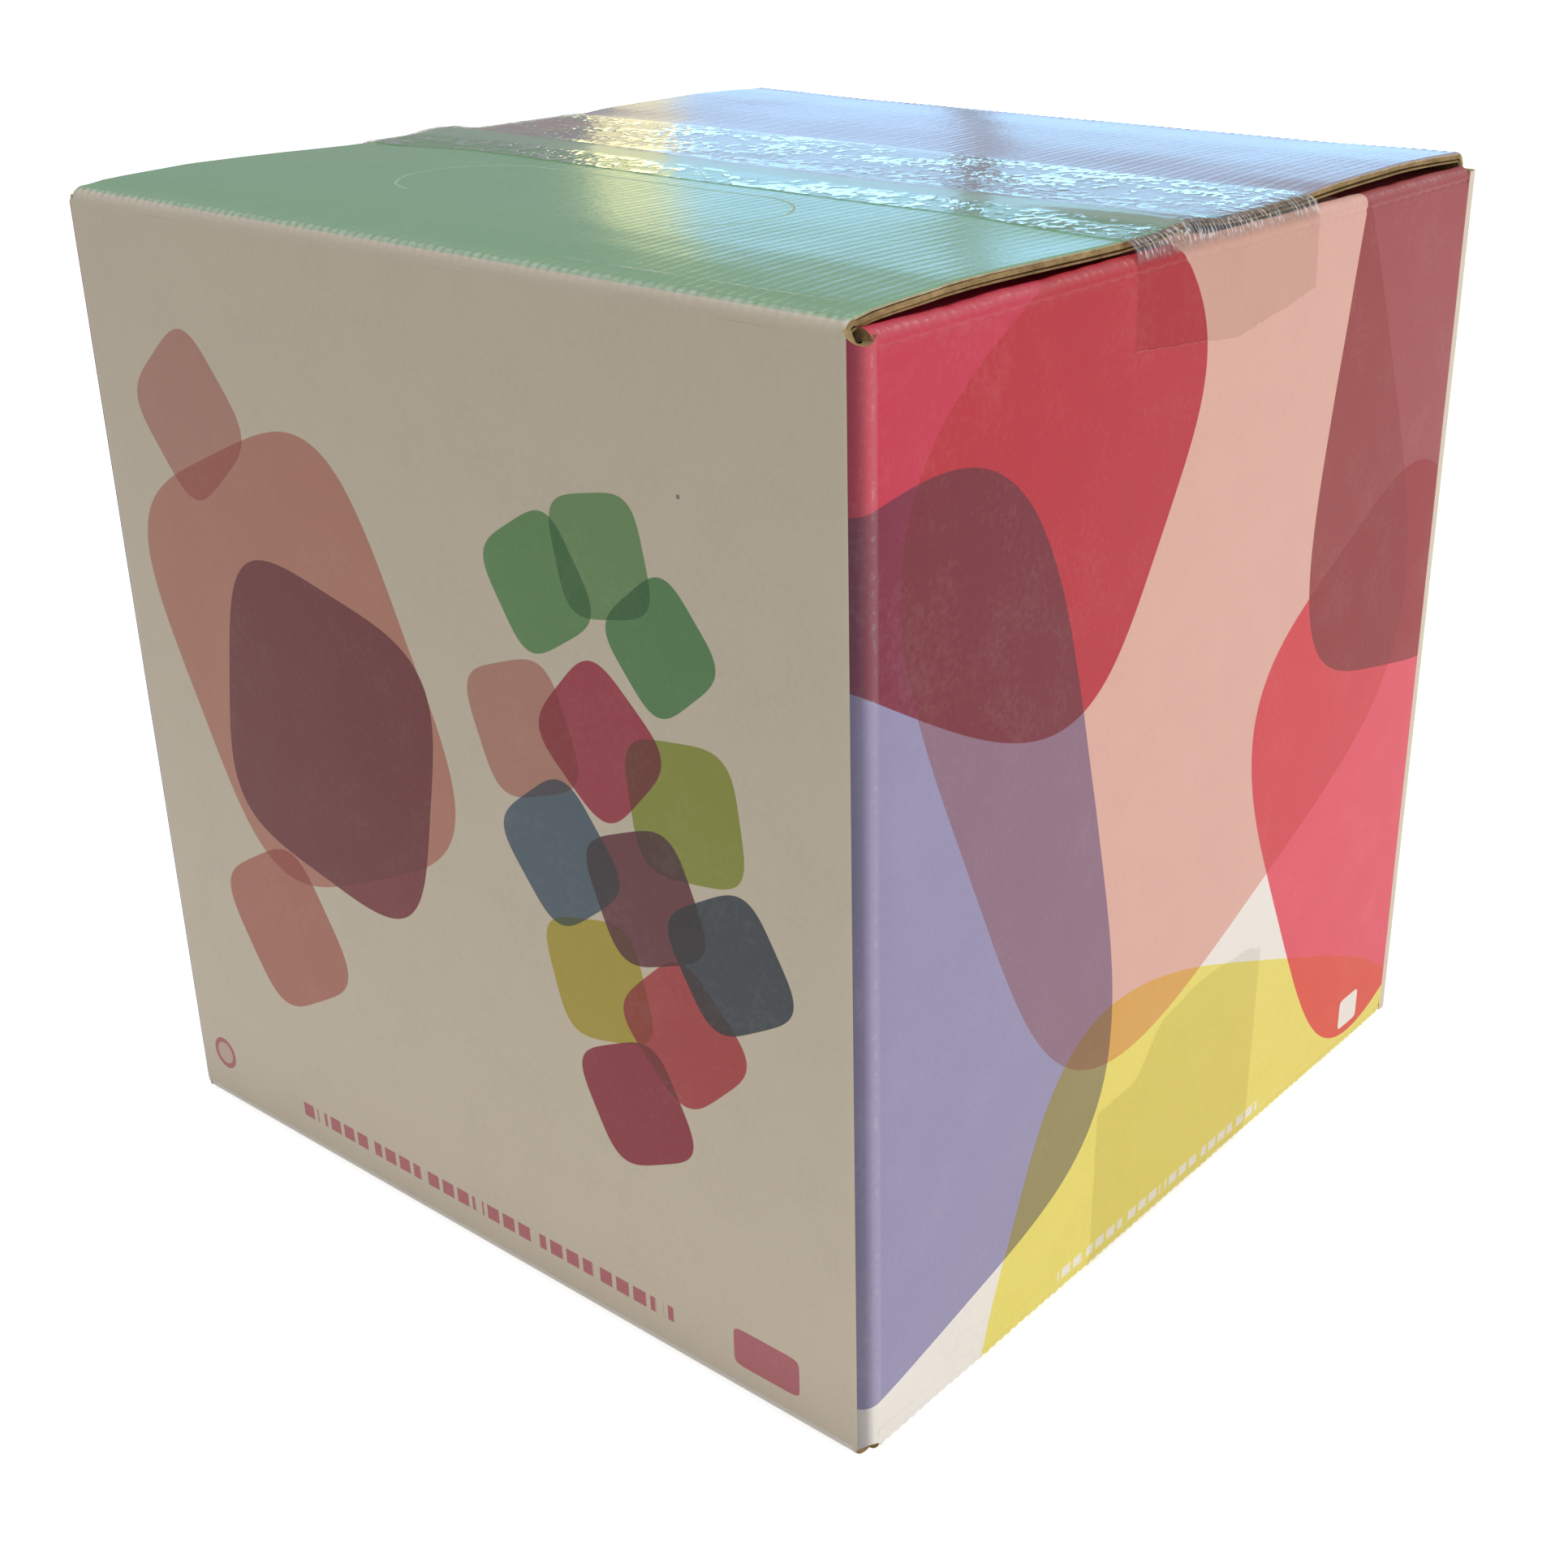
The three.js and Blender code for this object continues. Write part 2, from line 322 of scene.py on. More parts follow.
class Nodes:
    """A node tree that is built node by node."""

    def __init__(self, owner: bpy.types.ID, ending: str) -> None:
        """Empties the tree of a material or world and adds its output, whose node type is the ending."""
        owner.use_nodes = True
        self.tree = owner.node_tree
        self.tree.nodes.clear()
        self.output = self.node(ending)

    def node(self, kind: str, settings: dict | None = None, inputs: dict | None = None) -> bpy.types.Node:
        """Adds a node of any kind.

        Args:
            kind: The node's type.
            settings: Its settings by name.
            inputs: Values, wires or sockets by the input's name or number.

        Returns:
            The node.
        """
        made = self.tree.nodes.new(kind)
        for name, value in (settings or {}).items():
            setattr(made, name, value)
        for name, value in (inputs or {}).items():
            self.join(made.inputs[name], value)
        return made

    def join(self, socket: bpy.types.NodeSocket, value: object) -> None:
        """Links a wire or socket to an input, or sets its value."""
        if isinstance(value, Wire):
            self.tree.links.new(value.socket, socket)
        elif isinstance(value, bpy.types.NodeSocket):
            self.tree.links.new(value, socket)
        elif socket.type == "RGBA" and len(value) == 3:
            socket.default_value = (*value, 1)
        else:
            socket.default_value = value

    def end(self, last: bpy.types.Node) -> None:
        """Ends the tree in one node."""
        self.tree.links.new(last.outputs[0], self.output.inputs[0])

    def sums(self, operation: str, *values: Value, clamp: bool = False) -> Wire:
        """Adds one Math node.

        Args:
            operation: Its operation.
            values: Its values or wires in order.
            clamp: Whether the result is held between 0 and 1.

        Returns:
            The result.
        """
        settings = {"operation": operation, "use_clamp": clamp}
        return Wire(self, self.node("ShaderNodeMath", settings, dict(enumerate(values))).outputs[0])

    def blend(self, mask: Value, first: object, second: object, mode: str = "MIX") -> bpy.types.NodeSocket:
        """Mixes two colours.

        Args:
            mask: Where the second one shows.
            first: The colour below.
            second: The colour above.
            mode: How the two are mixed.

        Returns:
            The mixed colour.
        """
        settings = {"data_type": "RGBA", "blend_type": mode}
        return self.node("ShaderNodeMix", settings, {0: mask, 6: first, 7: second}).outputs[2]

    def seen(self) -> Wire:
        """1 for what the camera sees, itself or by a mirror or clear film, and 0 for what only lights."""
        rays = self.node("ShaderNodeLightPath").outputs
        kinds = ("Is Camera Ray", "Is Glossy Ray", "Is Transmission Ray")
        camera, mirror, film = (Wire(self, rays[kind]) for kind in kinds)
        return camera.most(mirror).most(film)


class Finish(Nodes):
    """A material."""

    def __init__(self, name: str) -> None:
        """Starts an empty material and finds the place on the object."""
        self.material = bpy.data.materials.new(name)
        super().__init__(self.material, "ShaderNodeOutputMaterial")
        self.place = self.node("ShaderNodeTexCoord").outputs["Object"]
        parts = self.node("ShaderNodeSeparateXYZ", inputs={0: self.place}).outputs
        self.x, self.y, self.z = (Wire(self, part) * (1 / MM) for part in parts)

    def grain(self, size: float, detail: float = 2, stretch: Triple = (1, 1, 1),
              rough: float = 0.5) -> Wire:
        """Smooth noise from 0 to 1.

        Args:
            size: The size of its lumps in millimetres.
            detail: How many finer layers it has.
            stretch: How many times closer the lumps lie along each axis.
            rough: How strong the finer layers are.

        Returns:
            The noise.
        """
        scaled = self.node("ShaderNodeMapping", inputs={"Vector": self.place, "Scale": stretch}).outputs[0]
        inputs = {"Vector": scaled, "Scale": 1 / (size * MM), "Detail": detail, "Roughness": rough}
        return Wire(self, self.node("ShaderNodeTexNoise", inputs=inputs).outputs[0])

    def wear_and_highlight(self) -> Wire:
        """How near a place is to a fold's crest, from 0 to 1, which sets the wear and the painted highlight
        there.
        """
        found = self.node("ShaderNodeAttribute", {"attribute_name": "crease"})
        return Wire(self, found.outputs["Fac"])

    def bump(self, height: Value, distance: float, strength: float = 1.0) -> bpy.types.NodeSocket:
        """Turns a height from 0 to 1 into a bent normal.

        Args:
            height: The height.
            distance: How far 1 stands out, in millimetres.
            strength: How much of it is used.

        Returns:
            The normal.
        """
        inputs = {"Height": height, "Distance": distance * MM, "Strength": strength}
        return self.node("ShaderNodeBump", inputs=inputs).outputs[0]

    def surface(self, inputs: dict) -> None:
        """Ends the material in one Principled shader with these inputs."""
        self.end(self.node("ShaderNodeBsdfPrincipled", inputs=inputs))


class Board(Finish):
    """Coated white board with ink on it: fine mottling, faint flutes, and folds lightened to white by
    scuffed wear and by a painted highlight along their crests.
    """

    white = ink("f2ece4")
    scuff_and_highlight_white = ink("efe6e4")
    # The white that fold crests are lightened to, for scuffed wear and for a painted highlight.
    mark = ink("b9636b")
    grime = (0.1, 0.09, 0.1)
    rib_pitch = 1.77
    on_side = False

    def along(self) -> Wire:
        """The place along the wall: Y on a side wall, and X elsewhere."""
        return self.y if self.on_side else self.x

    def motif(self, shape: Motif) -> Wire:
        """The mask of one printed shape.

        Args:
            shape: The shape.

        Returns:
            1 on the shape and 0 off it, with a crisp edge.
        """
        turn = math.radians(shape.tilt)
        across, up = shape.across * MM, shape.up * MM
        wide, high = shape.half_width * MM, shape.half_height * MM
        if self.on_side:
            place, angles, size, pick = (0, across, up), (turn, 0, 0), (1, wide, high), (0, 1, 1)
        else:
            place, angles, size, pick = (across, 0, up), (0, -turn, 0), (wide, 1, high), (1, 0, 1)
        settings = {"vector_type": "TEXTURE"}
        inputs = {"Vector": self.place, "Location": place, "Rotation": angles, "Scale": size}
        spot = self.node("ShaderNodeMapping", settings, inputs).outputs[0]
        for _ in range(shape.squareness):
            twice = {0: spot, 1: spot}
            spot = self.node("ShaderNodeVectorMath", {"operation": "MULTIPLY"}, twice).outputs[0]
        dot = self.node("ShaderNodeVectorMath", {"operation": "DOT_PRODUCT"}, {0: spot, 1: pick})
        crisp = 0.1 / min(shape.half_width, shape.half_height) * 2**shape.squareness
        return Wire(self, dot.outputs["Value"]).soft(1 + crisp / 2, 1 - crisp / 2)

    def printed(self, base: Colour, shapes: Sequence[Motif]) -> bpy.types.NodeSocket:
        """Lays see-through inks over each other.

        Args:
            base: The colour that they are printed on.
            shapes: The shapes in order.

        Returns:
            The printed colour.
        """
        colour: object = base
        for shape in shapes:
            colour = self.blend(self.motif(shape), colour, ink(shape.colour), "MULTIPLY")
        return colour

    def dashes(self, start: float, stop: float, low: float, high: float, pitch: float) -> Wire:
        """A row of short dashes of uneven length, in place of small print.

        Args:
            start: Where the row starts.
            stop: Where it stops.
            low: Its lower edge.
            high: Its upper edge.
            pitch: How far apart the dashes are.

        Returns:
            1 on the dashes and 0 between them.
        """
        along = self.along()
        dash = (along / pitch).math("FRACT").soft(0.78, 0.72)
        gap = ((along + 1.3) / (pitch * 3.7)).math("FRACT").soft(0.9, 0.86)
        inside = along.soft(start, start + 0.1) * along.soft(stop, stop - 0.1)
        band = self.z.soft(low, low + 0.15) * self.z.soft(high, high - 0.15)
        return dash * gap * inside * band

    def coated(self, colour: object, rough: Value, height: Value = 0.0, shine: float = 0.42,
               relief_depth: float = 0.05) -> None:
        """Finishes the board: mottled ink, folds lightened by scuffed wear and a painted highlight, and a
        fine uneven coating.

        Args:
            colour: The printed colour.
            rough: The coating's roughness.
            height: A further height for the bump.
            shine: The coating's specular level.
            relief_depth: How deep the unevenness is, in millimetres.
        """
        fibres = self.grain(1.0, 2, rough=0.65)
        cloud = self.grain(9, 1)
        tone = (fibres - 0.5) * 0.10 + (cloud - 0.5) * 0.07
        dark = self.blend((0 - tone).most(0) * 1.6, colour, self.grime)
        mottled = self.blend(tone.most(0) * 1.1, dark, self.white)
        crest = self.wear_and_highlight()
        rib = (self.along() * (2 * math.pi / self.rib_pitch)).math("COSINE")
        # Along fold crests the colour goes toward white: partly scuffed wear, partly a painted highlight
        # standing in for the fold's glint.
        scuff_and_highlight = (crest * (fibres * 0.8 + rib * 0.07 + 0.12) - 0.36).soft(0.0, 0.3)
        relief = fibres * 0.5 + cloud * 0.6 + height
        self.surface({
            # Painted highlight: crest * 0.13 lightens every fold crest evenly, on top of the scuffs.
            "Base Color": self.blend(scuff_and_highlight * 0.32 + crest * 0.13, mottled, self.scuff_and_highlight_white),
            "Roughness": (fibres - 0.5) * 0.12 + rough + scuff_and_highlight * 0.15,
            "IOR": 1.5,
            "Specular IOR Level": shine,
            "Normal": self.bump(relief, relief_depth, 0.8),
        })


class SidePrint(Board):
    """The side walls: large tilted rounded squares of see-through ink over each other."""

    shapes = (
        Motif(-2, 108, 60, 62, 24, "edbdb4"),
        Motif(-62, 148, 56, 36, -31, "cf3352"),
        Motif(-74, 74, 47, 62, 14, "9e9bc8"),
        Motif(72, 132, 36, 56, -12, "a6454d"),
        Motif(64, 58, 38, 50, 27, "ee5068"),
        Motif(16, -4, 66, 40, -22, "f8ee76"),
    )

    on_side = True
    block = Motif(61.5, 9.0, 3.4, 3.0, 0, "ffffff", 3)
    # The near-black that the strip at the near corners is darkened toward.
    fold_strip_dark = (0.05, 0.045, 0.06)

    def __init__(self) -> None:
        """Lays the inks, white dashes and a white block, and darkens the strip at the near fold."""
        super().__init__("side_print")
        colour = self.printed(self.white, self.shapes)
        small = self.dashes(-32.2, 28.7, 4.1, 6.0, 3.1)
        colour = self.blend(small.most(self.motif(self.block)), colour, self.white)
        # Darkens the strip on the front side of the near corners, halfway toward near-black.
        colour = self.blend(self.y.soft(-76.3, -77.3) * 0.5, colour, self.fold_strip_dark)
        self.coated(colour, 0.44, shine=0.3)


class FrontPrint(Board):
    """The front: cream, with one large shape, a cluster of small tilted squares, and plain marks."""

    cream = ink("dccfb8")
    shapes = (
        Motif(-33, 92, 30, 34, 24, "dfa29a"),
        Motif(-27, 82, 24, 25, -12, "8f2c3c"),
        Motif(-52, 128, 11, 11, 40, "dcaaa6"),
        Motif(-44, 44, 13, 13, 30, "d58f86"),
        Motif(23, 118, 8.6, 8.6, 32, "6fae74"),
        Motif(35, 124, 8.2, 8.2, 12, "7fb57f"),
        Motif(45, 114, 8.0, 8.0, 40, "64a56f"),
        Motif(18, 96, 9.6, 9.6, 20, "dba6a2"),
        Motif(33, 98, 9.6, 9.6, 48, "c04060"),
        Motif(48, 92, 9.8, 9.8, 8, "a9bb4e"),
        Motif(24, 79, 9.6, 9.6, 38, "5a7494"),
        Motif(40, 77, 9.6, 9.6, 22, "7a3a4a"),
        Motif(55, 72, 9.4, 9.4, 30, "3c4a5e"),
        Motif(30, 61, 9.4, 9.4, 14, "d3c947"),
        Motif(46, 58, 9.6, 9.6, 44, "cf4c58"),
        Motif(36, 43, 9.4, 9.4, 26, "a82444"),
    )

    block = Motif(59, 9.1, 6.2, 3.3, 0, "ffffff", 3)
    speck = (0.03, 0.02, 0.02)

    def away(self, x: float, z: float) -> Wire:
        """The square of the distance from a point of the front."""
        return (self.x - x).math("POWER", 2) + (self.z - z).math("POWER", 2)

    def __init__(self) -> None:
        """Lays the inks, a row of dashes, a block and a ring, and one dark speck."""
        super().__init__("front_print")
        colour = self.printed(self.cream, self.shapes)
        row = self.dashes(-47.4, 40.8, 6.8, 9.6, 3.6)
        disc = self.away(-68.9, 10.6)
        ring = disc.soft(9.2, 8.6) - disc.soft(4.6, 4.0) * 0.7
        marks = row.most(self.motif(self.block)).most(ring)
        colour = self.blend(marks, colour, self.mark)
        colour = self.blend(self.away(49.3, 134.5).soft(0.14, 0.05) * 0.7, colour, self.speck)
        self.coated(colour, 0.46)


class BackPrint(Board):
    """The back: plain cream with a row of dashes."""

    def __init__(self) -> None:
        """Lays the cream and the dashes."""
        super().__init__("back_print")
        row = self.dashes(-40, 40, 6.8, 9.6, 3.6)
        self.coated(self.blend(row, FrontPrint.cream, self.mark), 0.46)


class FlapBoard(Board):
    """A top flap's glossier coating, which mirrors the windows in streaks along its flutes."""

    flute_pitch = 3.54
    gloss_rough = 0.2
    shine = 0.5

    def streaks(self) -> Wire:
        """The height of the flutes that show through, and of fine brushed streaks along them."""
        flute = (self.x * (2 * math.pi / self.flute_pitch)).math("SINE") * 0.16
        return self.grain(0.7, 2, (1, 0.35, 1), 0.7) * 1.1 + flute


class GreenFlap(FlapBoard):
    """The front top flap: green, with the punched line of a hand hole and a rubbed ridge near its fold."""

    green = ink("8dbb8e")
    torn_green = ink("b5cdb4")
    # The front top flap: green, with the punched line of a hand hole and a scuffed white ridge near its
    # fold.
    hole_x, hole_y = -3, -40.6
    hole_flat, hole_radius = 21.5, 13
    bridge = 24.2
    ridge_y, ridge_slope = -73.7, 0.022
    print_edge = 158.7

    def hole(self) -> tuple[Wire, Wire]:
        """The punched line of the hand hole, and the raised lip inside it."""
        across = abs(self.x - self.hole_x)
        deep = self.y - self.hole_y
        reach = (across - self.hole_flat).most(0)
        away = (reach * reach + deep * deep).math("SQRT") - self.hole_radius
        punched = 1 - (deep < 0) * (across < self.bridge)
        cut = abs(away + (self.grain(5, 1) - 0.5) * 0.5).soft(0.24, 0.12) * punched
        lip = (away + 0.35).soft(0, 0.3) * (away + 0.9).soft(0.9, 0.5) * punched
        return cut, lip

    def __init__(self) -> None:
        """Lays the green, the cut line and the ridge."""
        super().__init__("green_flap")
        cut, lip = self.hole()
        line = abs(self.y - self.ridge_y - self.x * self.ridge_slope).soft(0.2, 0.06)
        ridge = line * self.x.soft(24, 34) * self.x.soft(72, 66) * self.grain(3, 2).soft(0.35, 0.6)
        colour = self.blend(cut * 0.8, self.green, self.torn_green)
        colour = self.blend(ridge * 0.7, colour, self.white)
        past_print = self.z.soft(self.print_edge + 0.08, self.print_edge - 0.08)
        colour = self.blend(past_print, colour, FrontPrint.cream)
        height = self.streaks() + lip * 1.8 - cut * 2
        self.coated(colour, cut * 0.4 + self.gloss_rough, height, self.shine, 0.03)


class MauveFlap(FlapBoard):
    """The back top flap: mauve, with a pink patch at its left end."""

    mauve = ink("b1a3b6")
    pink = ink("dcb0b4")

    def __init__(self) -> None:
        """Lays the mauve and the pink."""
        super().__init__("mauve_flap")
        patch = self.x.soft(-58, -62) * self.y.soft(22, 16)
        colour = self.blend(patch * 0.6, self.mauve, self.pink)
        self.coated(colour, self.gloss_rough, self.streaks(), self.shine, 0.045)


class BareWhite(Board):
    """The bottom flaps: unprinted white board."""

    plain = ink("e9e3d8")

    def __init__(self) -> None:
        """Leaves the white bare."""
        super().__init__("bare_white")
        self.coated(self.plain, 0.5)


class Kraft(Finish):
    """Brown paper: the flutes, the inner face and every cut edge."""

    def __init__(self, name: str, pale: str, dark: str) -> None:
        """Lays long fibres in two browns.

        Args:
            name: The material's name.
            pale: The paler brown.
            dark: The darker brown.
        """
        super().__init__(name)
        fibres = self.grain(0.45, 3, (1, 0.35, 0.6), 0.7)
        cloud = self.grain(4, 2)
        tone = (fibres * 0.7 + cloud * 0.5).soft(0.35, 0.85)
        self.surface({
            "Base Color": self.blend(tone, ink(dark), ink(pale)),
            "Roughness": 0.9 - fibres * 0.1,
            "Specular IOR Level": 0.2,
            "Normal": self.bump(fibres, 0.08),
        })


class TapeFilm(Finish):
    """Clear packing film: sharp gloss, blobs where it has not stuck, and a whitish cloudiness, with a
    painted highlight in thin streaks along its creases and torn ends.
    """

    tint = (0.93, 0.925, 0.91)
    # The whitish colour of the film's own cloudiness and of its painted highlight streaks.
    milk_and_highlight = (0.86, 0.88, 0.92)
    glare = (1, 0.99, 0.93)
    film_index = 1.45

    def over(self, share: Wire, first: bpy.types.Node, second: bpy.types.Node) -> bpy.types.Node:
        """Mixes two shaders by the share of the second one."""
        return self.node("ShaderNodeMixShader", inputs={
            0: share, 1: first.outputs[0], 2: second.outputs[0]})

    def __init__(self) -> None:
        """Mixes clear film, a whitish cloudiness that also carries the painted highlight streaks, and the
        gloss, which only the upper strip shows.
        """
        super().__init__("tape_film")
        across = abs(self.x)
        upper = self.z.soft(80, 90)
        on_top = across.soft(76.2, 74.8) * upper
        blobs = self.grain(1.7, 1, (1.1, 0.75, 1), 0.4)
        coarse = self.grain(6, 1, (0.5, 1, 1))
        pulled = self.grain(1.0, 1, (0.18, 1.3, 0.3), 0.5)
        creases = self.wear_and_highlight()
        smooth_band = self.y.soft(-13.5, -11.5) * self.y.soft(-4.6, -5.6) * on_top
        seam_band = self.y.soft(-4.5, -3.5) * self.y.soft(9, 6) * on_top
        speckled = on_top * (1 - smooth_band) * (1 - seam_band * 0.6)
        loose = (blobs * 0.8 + coarse * 0.6 - 0.7).soft(0.0, 0.05) * speckled
        # Painted highlight: thin whitish streaks along the film's creases and torn ends, in place of
        # glints.
        crease_highlight_streaks = abs(pulled - 0.5).soft(0.055, 0.012) * creases.soft(0.3, 0.7)
        # The whitish cloudiness is partly the film's own, from loose blobs and the seam band, and partly
        # the painted highlight streaks.
        haze_and_highlight = loose * 0.07 + crease_highlight_streaks * 0.55 + creases * 0.05 + smooth_band * 0.22 + on_top * 0.07
        blisters = blobs * (loose * 0.9 + speckled * 0.25 + 0.05)
        folds = pulled * (creases + seam_band * 0.25) * 1.6
        normal = self.bump(blisters + folds, 0.2, 0.9)
        stuck_side = across.soft(76.6, 77.4) * (1 - creases.soft(0.25, 0.6))
        shows = upper * (1 - stuck_side)
        mirror = self.node("ShaderNodeFresnel", inputs={"IOR": self.film_index, "Normal": normal})
        rim = Wire(self, mirror.outputs[0])
        rim = rim * (0.62 + loose * 1.5 + creases * 0.4) * (1 - smooth_band * 0.4) * shows
        clear = self.node("ShaderNodeBsdfTransparent", inputs={"Color": self.tint})
        haze_and_highlight_shader = self.node("ShaderNodeBsdfPrincipled", inputs={
            "Base Color": self.milk_and_highlight, "Roughness": 0.3, "Normal": normal})
        gloss = self.node("ShaderNodeBsdfAnisotropic", inputs={
            "Color": self.glare, "Roughness": 0.1, "Normal": normal})
        self.end(self.over(rim.least(0.9), self.over(haze_and_highlight * shows, clear, haze_and_highlight_shader), gloss))


class FloorFinish(Finish):
    """A white floor that stays white where it is seen but for the shadow on it."""

    def __init__(self) -> None:
        """Adds a light of its own that lights nothing."""
        super().__init__("studio_floor")
        self.surface({
            "Base Color": self.blend(self.grain(30, 2) * 0.1, (0.86, 0.86, 0.86), (0.8, 0.8, 0.8)),
            "Roughness": 0.9,
            "Specular IOR Level": 0.1,
            "Emission Color": self.blend(self.seen(), (0, 0, 0), (1, 1, 1)),
            "Emission Strength": 0.75,
        })


class CardFinish(Finish):
    """The dull grey that the top mirrors round the window panes."""

    def __init__(self) -> None:
        """Gives the card an even light of its own."""
        super().__init__("dark_card")
        self.surface({
            "Base Color": (0.015, 0.015, 0.015),
            "Roughness": 1.0,
            "Specular IOR Level": 0.0,
            "Emission Color": (0.28, 0.32, 0.33),
            "Emission Strength": 1.0,
        })


class Room(Nodes):
    """The world: pale light, and white where it is seen or mirrored."""

    def __init__(self, lighting: float, seen: float) -> None:
        """Gives the world its two strengths, for what it lights and where it is seen."""
        world = bpy.data.worlds.new("room")
        super().__init__(world, "ShaderNodeOutputWorld")
        strength = self.seen() * (seen - lighting) + lighting
        self.end(self.node("ShaderNodeBackground", inputs={"Color": (1, 1, 1), "Strength": strength}))
        bpy.context.scene.world = world


@dataclass
class Papers:
    """The finishes of the board, each made once."""

    front: Finish = field(default_factory=FrontPrint)
    back: Finish = field(default_factory=BackPrint)
    side: Finish = field(default_factory=SidePrint)
    green: Finish = field(default_factory=GreenFlap)
    mauve: Finish = field(default_factory=MauveFlap)
    bare: Finish = field(default_factory=BareWhite)
    cut: Finish = field(default_factory=lambda: Kraft("cut_edge", "b8a274", "8c7450"))
    brown: Finish = field(default_factory=lambda: Kraft("brown_paper", "b59c6e", "735c3c"))
    pale: Finish = field(default_factory=lambda: Kraft("pale_cut", "d8ccb0", "a8926a"))


@dataclass
class Carton:
    """The folded board: four walls, their wide flaps in three layers, and the turned edges of narrow ones.

    Sizes are in millimetres.
    """

    papers: Papers = field(default_factory=Papers)
    half_width: float = 77.5
    half_depth: float = 78.0
    base: float = 0.27
    top: float = 159.27
    board: float = 1.5
    hinge: float = 2.4
    far_corner: float = 2.3
    side_reach: float = 5.0
    far_slot: float = 2.1
    narrow_fold: float = 1.8
    top_drop: float = 1.4
    bottom_drop: float = 1.0
    flap_half: float = 75.1
    rib: float = 1.77
    flute: float = 3.54
    bulges: dict[Wall, float] = field(default_factory=lambda: {
        Wall.FRONT: 0.7, Wall.RIGHT: 0.7, Wall.BACK: 0.35, Wall.LEFT: 0.8})
    # Corner fold points: how far along, how far out, and the wear and painted highlight there.
    near_fold: Sequence[Triple] = (
        (0.0, 0.0, 0.1), (0.5, 0.05, 0.0), (1.0, 0.22, 0.0), (1.4, 0.48, 0.0), (1.75, 0.84, 0.1),
        (2.03, 1.25, 0.2), (2.24, 1.7, 0.4), (2.36, 2.15, 0.62), (2.4, 2.6, 0.7), (2.4, 3.0, 0.4))
    far_fold: Sequence[Triple] = (
        (0.0, 0.0, 0.3), (1.6, 0.1, 0.4), (2.3, 0.6, 0.5), (2.5, 1.5, 0.5), (2.3, 2.4, 0.6))
    glue_flap: Table = ((0.1, 3.0), (0.9, 3.6), (1.7, 4.6), (1.75, 10), (1.75, 18))
    front_edge_rise: Table = (
        (-75.6, -0.2), (-72, 0.27), (-68, 0.47), (-65, 0.6), (-57, 0.92), (-49, 0.87),
        (-25, 0.39), (-14, 0.55), (-9, 1.15), (-5, 1.2))
    front_inner_rise: Table = (
        (-75.6, 0.0), (-72, 0.35), (-65, 0.75), (-57, 1.0), (-40, 1.05), (-25, 1.05),
        (-9, 0.9), (-4, 0.85))
    back_edge_rise: Table = (
        (8, 0.25), (26, 0.31), (34, 0.82), (47, 1.07), (57, 1.2), (66, 1.0), (75.6, 0.55))
    back_inner_rise: Table = (
        (-6, 0.45), (10, 0.5), (25.5, 0.5), (45, 0.8), (60, 0.8), (75.6, 0.3))
    front_seam: Table = (
        (-77, -4.8), (-49, -4.1), (-8, -6.2), (12, -5.6), (40, -4.9), (60, -5.6), (75.1, -7.6))
    back_seam: Table = (
        (-77, -4.3), (-60, -4.0), (-49, -3.2), (-35, -3.4), (-8, -5.5), (12, -4.8), (31, -3.3),
        (47, -2.0), (62, -0.8), (68, 0.0), (72, 2.0), (74, 4.4), (75.1, 8.4))

    def bulge(self, wall: Wall, across: float, z: float) -> float:
        """How far a wall stands out at a place: most in its middle, nothing at its folds."""
        half = self.half_width if wall in (Wall.FRONT, Wall.BACK) else self.half_depth
        sideways = 1 - min(1.0, abs(across) / half) ** 2
        middle = (self.top + self.base) / 2
        upwards = 1 - min(1.0, abs(z - middle) / (middle - self.base)) ** 2
        return self.bulges[wall] * sideways * upwards

    def rise(self, x: float, y: float, side: Side) -> float:
        """Height of a wide top flap's printed face above the fold."""
        share = smooth((abs(x) - 46) / 26)
        if side is Side.NEAR:
            lump = 0.22 * smooth((-x - 5) / 40) * smooth((y + 60) / 30)
            inner = read(self.front_inner_rise, y) + lump
            edge = read(self.front_edge_rise, y)
        else:
            inner = read(self.back_inner_rise, y) - 0.3 * smooth((x - 10) / 50) * smooth((45 - y) / 25)
            edge = read(self.back_edge_rise, y)
        flutes = 0.012 * math.sin(turns(x, self.rib))
        return inner + (edge - inner) * share + flutes + 0.06 * ripple(x, y, 3, 17)

    def notch(self, share: float) -> float:
        """How deep the rounded slot at a front corner is, from the front's end at 0 to the side's at 1."""
        return 1.3 + 0.7 * share + 1.35 * math.sin(math.pi * share) ** 0.6

    def straight(self, start: Spot, stop: Spot, wall: Wall) -> list[WallPoint]:
        """A flat wall's line seen from above, from one end to the other."""
        steps = 44
        cut = self.hinge if wall in (Wall.FRONT, Wall.BACK) else self.side_reach
        line = []
        for step in range(steps + 1):
            share = step / steps
            x = start[0] + (stop[0] - start[0]) * share
            y = start[1] + (stop[1] - start[1]) * share
            line.append(WallPoint(x, y, 0.0, cut, wall))
        return line

